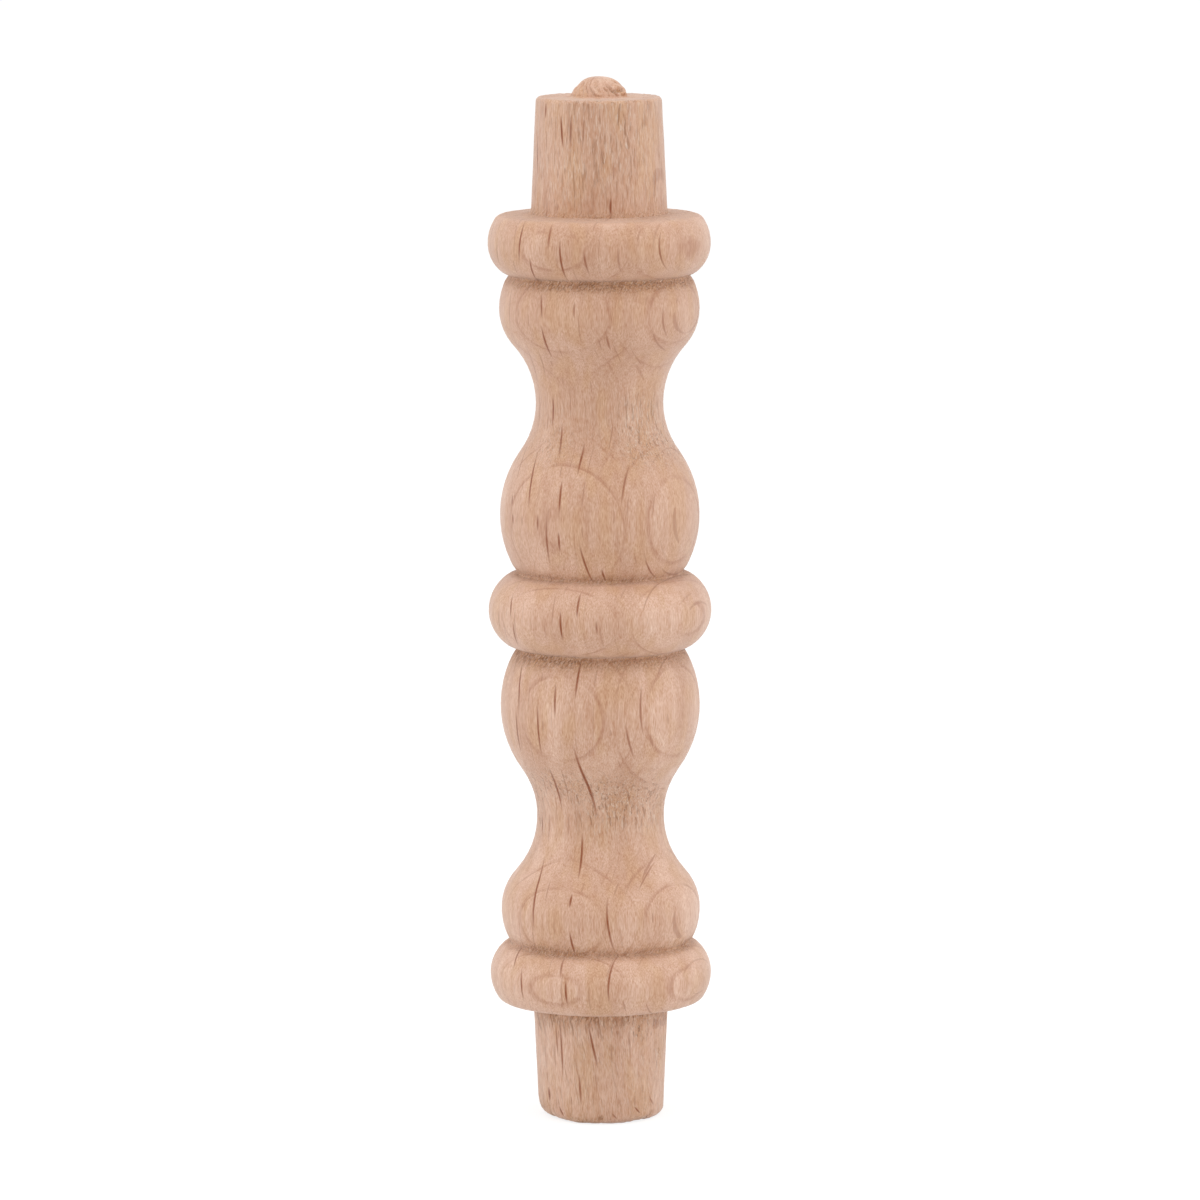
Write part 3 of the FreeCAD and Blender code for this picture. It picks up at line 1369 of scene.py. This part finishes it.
@dataclass(frozen=True)
class Necks(Stretch):
    """The two necks, halfway between a ball's quirk and a vase's: slightly frayed fibres, in patches.

    Attributes:
        reach: Distances from the middle of a neck at which the marks end and are full.
        patch: Pattern of the patches.
        torn: Share of short torn fibres in the patches.
        frayed: Share of long open fibres in the patches.
        between: Share of that between the patches.
    """

    reach: Span = (4.5 * MM, 1.35 * MM)
    patch: WrappedNoise = WrappedNoise(9, 4.0 * MM, 24, (-0.5, 0.6))
    torn: float = 0.2
    frayed: float = 0.8
    between: float = 0.3

    def marks(self, levels: Levels, at: Points) -> Marks:
        """Colour only: the necks are as smooth as the rest.

        Args:
            levels: The baluster's landmarks.
            at: The points of the skin.

        Returns:
            The marks at each row and column.
        """
        low, mid_low, mid_high, high = levels.quirks
        lower = np.abs(at.height - (low + mid_low) / 2.0)
        upper = np.abs(at.height - (mid_high + high) / 2.0)
        band = smooth_step(*self.reach, np.minimum(lower, upper))
        patch = at.mask(self.patch)
        frayed = self.frayed * band * at_least(self.between, patch)
        return Marks(torn=self.torn * band * patch, frayed=frayed)


@dataclass(frozen=True)
class Foot(Stretch):
    """The lower end's edge: worn on its left, with small chips all around.

    Attributes:
        tip_radius: Radius of the tenon at its end.
        edge: Distances from the corner at which the wear ends and is full.
        left: Places from right to left between which the wear starts.
        wear_depth: How far the edge is worn on its left.
        wide_chip: Pattern of the wide chips.
        fine_chip: Pattern of the fine chips.
        chip_span: Sums of both patterns at which a chip starts and is full.
        chip_rise: Heights between which the chips start.
        chip_depth: Depth of the chips.
        blotch: Pattern of the blotches around the end.
        blotch_reach: Distances from the corner at which the blotches end and are full.
        blotch_torn: Share of short torn fibres in the blotches.
    """

    tip_radius: float = 5.6 * MM
    edge: Span = (1.4 * MM, 0.35 * MM)
    left: Span = (0.3, 1.0)
    wear_depth: float = 0.24 * MM
    wide_chip: WrappedNoise = WrappedNoise(23, 2.0 * MM, 14)
    fine_chip: WrappedNoise = WrappedNoise(61, 0.6 * MM, 15)
    chip_span: Span = (0.4, 1.3)
    chip_rise: Span = (0.2 * MM, 0.6 * MM)
    chip_depth: float = 0.05 * MM
    blotch: WrappedNoise = WrappedNoise(21, 1.6 * MM, 16, (-0.1, 0.6))
    blotch_reach: Span = (2.4 * MM, 0.8 * MM)
    blotch_torn: float = 0.6

    def marks(self, levels: Levels, at: Points) -> Marks:
        """Wear and chips within reach of the corner, and torn blotches a little further up.

        Args:
            levels: The baluster's landmarks. Not used here.
            at: The points of the skin.

        Returns:
            The marks at each row and column.
        """
        corner = at.from_ring(self.tip_radius, 0.0)
        edge = smooth_step(*self.edge, corner)
        wear = smooth_step(*self.left, -at.right())
        chip = smooth_step(*self.chip_span, at.noise(self.wide_chip) + at.noise(self.fine_chip))
        chip = chip * smooth_step(*self.chip_rise, at.height)
        depth = edge * (self.wear_depth * wear + self.chip_depth * chip)
        blotch = self.blotch_torn * at.mask(self.blotch) * smooth_step(*self.blotch_reach, corner)
        return Marks(depth, np.maximum(edge * chip, blotch))


@dataclass(frozen=True)
class Stub(Stretch):
    """The torn stub: a smooth cap over a skirt of slanting strokes, with a lip on the right.

    Heights are over the upper tenon's end face.

    Attributes:
        start: Heights between which the stub starts.
        cap: Heights at which the strokes end and are full.
        lean: Lean of the strokes, in turns a metre.
        stroke: Pattern of the strokes.
        flank_start: Heights between which the left flank starts to fall in.
        flank_end: Heights at which the left flank's fall ends and is full.
        waist: How far the left flank falls in.
        depth: Depth of the strokes.
        gap_height: Height of the gap under the lip.
        gap_reach: Distances from that height at which the gap ends and is full.
        gap_turn: Place of the gap around the axis, in turns to the right of the front.
        gap_width: Distances from that place at which the gap ends and is full, in turns.
        torn: Share of short torn fibres between the strokes.
        stroke_torn: How much more of them the strokes have.
    """

    start: Span = (-0.05 * MM, 0.1 * MM)
    cap: Span = (1.7 * MM, 1.2 * MM)
    lean: float = 50.0
    stroke: WrappedNoise = WrappedNoise(60, 0.9 * MM, 17, (0.1, 0.6))
    flank_start: Span = (0.1 * MM, 0.7 * MM)
    flank_end: Span = (1.7 * MM, 1.0 * MM)
    waist: float = 0.16 * MM
    depth: float = 0.28 * MM
    gap_height: float = 0.65 * MM
    gap_reach: Span = (0.25 * MM, 0.05 * MM)
    gap_turn: float = 0.15
    gap_width: Span = (0.09, 0.03)
    torn: float = 0.05
    stroke_torn: float = 0.4

    def marks(self, levels: Levels, at: Points) -> Marks:
        """Strokes on the skirt, the gap under the lip, and the waist, which is deepest on the left.

        Args:
            levels: The baluster's landmarks.
            at: The points of the skin.

        Returns:
            The marks at each row and column.
        """
        over = at.height - levels.end
        stub = smooth_step(*self.start, over)
        skirt = smooth_step(*self.cap, over)
        stroke = 0.5 * (1.0 + at.noise(self.stroke, self.lean))
        flank = smooth_step(*self.flank_start, over) * smooth_step(*self.flank_end, over)
        waist = flank * 0.5 * (1.0 - at.right())
        gap = smooth_step(*self.gap_reach, np.abs(over - self.gap_height))
        gap = gap * smooth_step(*self.gap_width, np.abs(at.turn - self.gap_turn))
        depth = self.depth * (skirt * stroke + gap) + self.waist * waist
        torn = skirt * (self.torn + self.stroke_torn * at.mask(self.stroke, self.lean)) + gap
        return Marks(stub * depth, stub * np.clip(torn, 0.0, 1.0))


@dataclass(frozen=True)
class Lathe:
    """Leaves the marks of turning on the skin.

    Attributes:
        out_of_round: How far the section strays from a circle.
        sway: Pattern of that stray.
        sway_share: Share of it that changes around the axis and along it.
        stretches: The stretches with marks of their own.
    """

    out_of_round: float = 0.03 * MM
    sway: WrappedNoise = WrappedNoise(5, 13.0 * MM, 3)
    sway_share: float = 0.4
    stretches: tuple[Stretch, ...] = (LowerTenon(), UpperTenon(), Quirks(), Necks(), Foot(), Stub())

    def marks(self, levels: Levels, at: Points) -> Marks:
        """All marks together.

        Args:
            levels: The baluster's landmarks.
            at: The points of the skin.

        Returns:
            The marks at each row and column.
        """
        sway = 1.0 - self.sway_share + self.sway_share * at.noise(self.sway)
        marks = Marks(self.out_of_round * sway)
        for stretch in self.stretches:
            marks = marks.with_more(stretch.marks(levels, at))
        return marks


@dataclass(frozen=True)
class Rows:
    """The rows of the skin, from the lower end's middle to the stub's top. Lengths are in metres.

    Attributes:
        radius: Distance of each row from the axis.
        height: Height of each row.
        out: Part of the surface's normal that points away from the axis.
        up: Part of the surface's normal that points up.
    """

    radius: np.ndarray
    height: np.ndarray
    out: np.ndarray
    up: np.ndarray


@dataclass(frozen=True)
class TurnedBaluster:
    """The baluster's skin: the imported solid's outline turned about the axis, with the marks of the lathe.

    Attributes:
        around: Points in one turn.
        row_count: Rows from the lower end to the stub's top.
        samples: Points along the outline at which the rows are planned.
        plain_row: Height of a row on plain stretches.
        torn_row: Height of a row on the tenons and beside the quirks, which need more.
        quirk_reach: How far from a quirk its torn rows reach.
        stub_row: Height of a row on the stub.
        row_turn: How far the outline turns from row to row at corners, in degrees.
        corner: Length over which a sharp corner counts as turning.
        side: Least part of the normal that points outwards on the sides, where flecks lie.
        lathe: The marks of turning.
        finish: The wood.
        flecks: The large ray flecks on the front.
    """

    around: int = 384
    row_count: int = 256
    samples: int = 12000
    plain_row: float = 0.75 * MM
    torn_row: float = 0.30 * MM
    quirk_reach: float = 1.0 * MM
    stub_row: float = 0.13 * MM
    row_turn: float = 7.0
    corner: float = 0.25 * MM
    side: float = 0.2
    lathe: Lathe = Lathe()
    finish: BareBeech = BareBeech()
    flecks: tuple[RayFleck, ...] = FRONT_FLECKS

    def rows(self, outline: Outline, levels: Levels) -> Rows:
        """Spaces the rows along the outline, closer where it turns and on the torn stretches.

        The number of rows in each short piece of the outline is its length over the row height there, plus
        its turn over the turn of a row. Rows stand at equal steps of the sum.

        Args:
            outline: The solid's outline.
            levels: The baluster's landmarks.

        Returns:
            The rows without the two poles.
        """
        fine = np.linspace(0.0, outline.run()[-1], self.samples)
        r, z = outline.at(fine)
        step = fine[1] - fine[0]
        span = max(1, round(self.corner / step / 2.0))
        rise = np.roll(z, -span) - np.roll(z, span)
        reach = np.roll(r, -span) - np.roll(r, span)
        turn = np.abs(np.gradient(np.unwrap(np.arctan2(rise, reach))))
        turn[: 2 * span] = 0.0
        turn[-2 * span :] = 0.0
        torn = (z < levels.lower) | (z > levels.upper) | (levels.from_quirk(z) < self.quirk_reach)
        per_metre = np.where(torn, 1.0 / self.torn_row, 1.0 / self.plain_row)
        per_metre = np.where(z > levels.end, 1.0 / self.stub_row, per_metre)
        weight = np.cumsum(per_metre * step + turn / math.radians(self.row_turn))
        place = np.interp(np.linspace(weight[0], weight[-1], self.row_count + 2), weight, fine)
        r, z = outline.at(place)
        along_r = np.gradient(r)
        along_z = np.gradient(z)
        length = np.hypot(along_r, along_z)
        inner = slice(1, -1)
        return Rows(r[inner], z[inner], (along_z / length)[inner], (-along_r / length)[inner])

    def build(self) -> bpy.types.Object:
        """Builds the skin: radius and height as functions of the row and the turn, closed by two poles.

        A point lies at (r sin a, -r cos a, z), where a is the azimuth from the front, and r and z are the
        row's radius and height, moved inwards along the row's normal by the depth of the marks there.

        Returns:
            The finished object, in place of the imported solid.
        """
        outline = Outline.read()
        levels = Levels.read(outline)
        rows = self.rows(outline, levels)
        turn = np.arange(self.around) / self.around
        marks = self.lathe.marks(levels, Points(turn[None, :], rows.height[:, None], rows.radius[:, None]))
        radius = rows.radius[:, None] - marks.depth * rows.out[:, None]
        height = rows.height[:, None] - marks.depth * rows.up[:, None]
        azimuth = FULL_TURN * turn[None, :]
        skin = np.stack([radius * np.sin(azimuth), -radius * np.cos(azimuth), height], axis=2)
        poles = [(0.0, 0.0, float(height[0].mean())), (0.0, 0.0, float(height[-1].mean()))]
        places = np.concatenate([skin.reshape(-1, 3), poles])
        mesh = bpy.data.meshes.new("baluster_skin")
        mesh.from_pydata(places.tolist(), [], self.faces())
        mesh.shade_smooth()
        for mark, share in ((Mark.TORN, marks.torn), (Mark.FRAYED, marks.frayed)):
            ends = [share[0].mean(), share[-1].mean()]
            values = mesh.attributes.new(mark.value, "FLOAT", "POINT").data
            values.foreach_set("value", np.r_[share.ravel(), ends])
        mesh.materials.append(self.finish.material(self.flecks_on(rows)))
        skin_object = add_object("baluster_skin", mesh)
        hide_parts(NODE)
        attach(skin_object, BODY)
        return skin_object

    def faces(self) -> list[list[int]]:
        """Quads between the rows, and a fan of triangles around each pole, all facing outwards.

        Returns:
            The numbers of each face's corners: rows first, then the lower and the upper pole.
        """
        count = self.row_count * self.around
        index = np.arange(count).reshape(self.row_count, self.around)
        after = np.roll(index, -1, axis=1)
        quads = np.stack([index[:-1], after[:-1], after[1:], index[1:]], axis=2).reshape(-1, 4)
        under = np.stack([after[0], index[0], np.full(self.around, count)], axis=1)
        over = np.stack([index[-1], after[-1], np.full(self.around, count + 1)], axis=1)
        return [*quads.tolist(), *under.tolist(), *over.tolist()]

    def flecks_on(self, rows: Rows) -> list[tuple[RayFleck, float]]:
        """Finds the surface under each large ray fleck.

        Args:
            rows: The rows of the skin.

        Returns:
            The flecks, each with the surface's radius at its height in millimetres.
        """
        side = np.abs(rows.out) > self.side
        heights = rows.height[side] / MM
        radii = rows.radius[side] / MM
        return [(fleck, float(np.interp(fleck.height, heights, radii))) for fleck in self.flecks]


@dataclass(frozen=True)
class Studio:
    """The pale floor, the soft light and the camera. Lengths are in metres.

    Attributes:
        middle: Height that the camera looks at.
        distance: Distance of the camera from there.
        elevation: How far the camera looks down, in degrees.
        roll: How far the camera leans to its right, in degrees.
        seen: Width of the picture at that distance.
        floor_radius: Radius of the floor.
        floor_corners: Corners of the floor's rim.
        floor_tone: Brightness of the floor.
        floor_glow: The white that a shadow leaves on the floor, as the camera sees it.
        floor_shade: The share of white that a shadow takes away.
        ambient: Strength of the light from all around.
        softbox_size: Width and height of each soft light.
        softbox_distance: Distance of each soft light from the height that the camera looks at.
        softboxes: Strength of the soft light on each side, as a multiple of white.
    """

    middle: float = 46.79 * MM
    distance: float = 648.0 * MM
    elevation: float = 8.0
    roll: float = 0.13
    seen: float = 107.45 * MM
    floor_radius: float = 3.0
    floor_corners: int = 96
    floor_tone: float = 0.8
    floor_glow: float = 0.81
    floor_shade: float = 0.3
    ambient: float = 0.705
    softbox_size: float = 0.6
    softbox_distance: float = 0.55
    softboxes: tuple[tuple[Side, float], ...] = ((Side.LEFT, 0.96), (Side.RIGHT, 1.02), (Side.ABOVE, 1.15))

    def aimed(self, way: Vector, distance: float) -> Matrix:
        """Place and turn of a thing that looks at the object's middle.

        Args:
            way: Direction from the middle to it, of length 1.
            distance: Its distance from the middle.

        Returns:
            Its matrix in the scene.
        """
        place = Vector((0.0, 0.0, self.middle)) + way * distance
        return Matrix.Translation(place) @ way.to_track_quat("Z", "Y").to_matrix().to_4x4()

    def camera(self) -> bpy.types.Object:
        """Sets up the camera in front of the object, looking slightly down.

        Returns:
            The camera.
        """
        data = bpy.data.cameras.new("camera")
        data.angle = 2.0 * math.atan(self.seen / 2.0 / self.distance)
        camera = add_object("camera", data)
        tilt = math.radians(self.elevation)
        back = Vector((0.0, -math.cos(tilt), math.sin(tilt)))
        roll = Matrix.Rotation(-math.radians(self.roll), 4, "Z")
        camera.matrix_world = self.aimed(back, self.distance) @ roll
        bpy.context.scene.camera = camera
        return camera

    def floor(self) -> bpy.types.Object:
        """Lays the floor: a disc, given by radius and turn, that reaches past the picture on all sides.

        Returns:
            The floor.
        """
        turn = np.linspace(0.0, FULL_TURN, self.floor_corners, endpoint=False)
        rim = np.stack([np.cos(turn), np.sin(turn), np.zeros_like(turn)], axis=1) * self.floor_radius
        mesh = bpy.data.meshes.new("floor")
        mesh.from_pydata(rim.tolist(), [], [list(range(len(rim)))])
        mesh.materials.append(self.paper())
        floor = add_object("floor", mesh)
        return floor

    def paper(self) -> bpy.types.Material:
        """The floor's white paper, which the camera sees with part of its white glowing through shadows.

        Returns:
            The material.
        """
        material = bpy.data.materials.new("studio_paper")
        material.use_nodes = True
        nodes = material.node_tree.nodes
        w = Wiring(material.node_tree)
        matte = nodes["Principled BSDF"]
        matte.inputs["Base Color"].default_value = grey(self.floor_tone)
        matte.inputs["Roughness"].default_value = 1.0
        matte.inputs["Specular IOR Level"].default_value = 0.0
        dim = w.add("ShaderNodeBsdfDiffuse")
        dim.inputs["Color"].default_value = grey(self.floor_shade)
        glow = w.add("ShaderNodeEmission")
        glow.inputs["Strength"].default_value = self.floor_glow
        seen = w.add("ShaderNodeAddShader")
        w.fill(seen, (dim.outputs[0], glow.outputs[0]))
        choice = w.add("ShaderNodeMixShader")
        w.fill(choice, (self.seen_directly(w), matte.outputs[0], seen.outputs[0]))
        w.put(nodes["Material Output"].inputs["Surface"], choice.outputs[0])
        return material

    def seen_directly(self, w: Wiring) -> Socket:
        """Tells what the camera sees, also in a mirror or through glass, from light on its way.

        Args:
            w: Wiring of the material or of the surroundings.

        Returns:
            The output, 1 for what the camera sees and 0 for the rest.
        """
        path = w.add("ShaderNodeLightPath")
        direct = w.math("MAXIMUM", path.outputs["Is Camera Ray"], path.outputs["Is Glossy Ray"])
        return w.math("MAXIMUM", direct, path.outputs["Is Transmission Ray"])

    def surroundings(self) -> None:
        """Lights the object from all around, with white behind it."""
        world = bpy.data.worlds.new("surroundings")
        world.use_nodes = True
        bpy.context.scene.world = world
        w = Wiring(world.node_tree)
        background = world.node_tree.nodes["Background"]
        background.inputs["Color"].default_value = grey(1.0)
        strength = w.math("MULTIPLY_ADD", self.seen_directly(w), 1.0 - self.ambient, self.ambient)
        w.put(background.inputs["Strength"], strength)

    def softbox(self, side: Side, strength: float) -> bpy.types.Object:
        """Hangs one large soft light.

        Args:
            side: Where it hangs.
            strength: Its brightness, where 1 is as bright as white paper in full light.

        Returns:
            The light.
        """
        data = bpy.data.lights.new(f"softbox_{side.name.lower()}", "AREA")
        data.shape = "SQUARE"
        data.size = self.softbox_size
        data.energy = strength * math.pi * self.softbox_size**2
        light = add_object(data.name, data)
        light.matrix_world = self.aimed(Vector(side.value).normalized(), self.softbox_distance)
        return light

    def build(self) -> bpy.types.Object:
        """Sets up the whole studio.

        Returns:
            The floor, which is the studio's only mesh.
        """
        bpy.context.scene.view_settings.view_transform = "Standard"
        self.camera()
        floor = self.floor()
        self.surroundings()
        for side, strength in self.softboxes:
            self.softbox(side, strength)
        return floor


def main() -> None:
    """Builds the studio and the baluster."""
    logging.basicConfig(level=logging.INFO, format="%(name)s: %(message)s")
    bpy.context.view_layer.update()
    floor = Studio().build()
    skin = TurnedBaluster().build()
    for piece in (floor, skin):
        LOG.info("%s: %d faces", piece.name, len(piece.data.polygons))


if __name__ == "__main__":
    main()
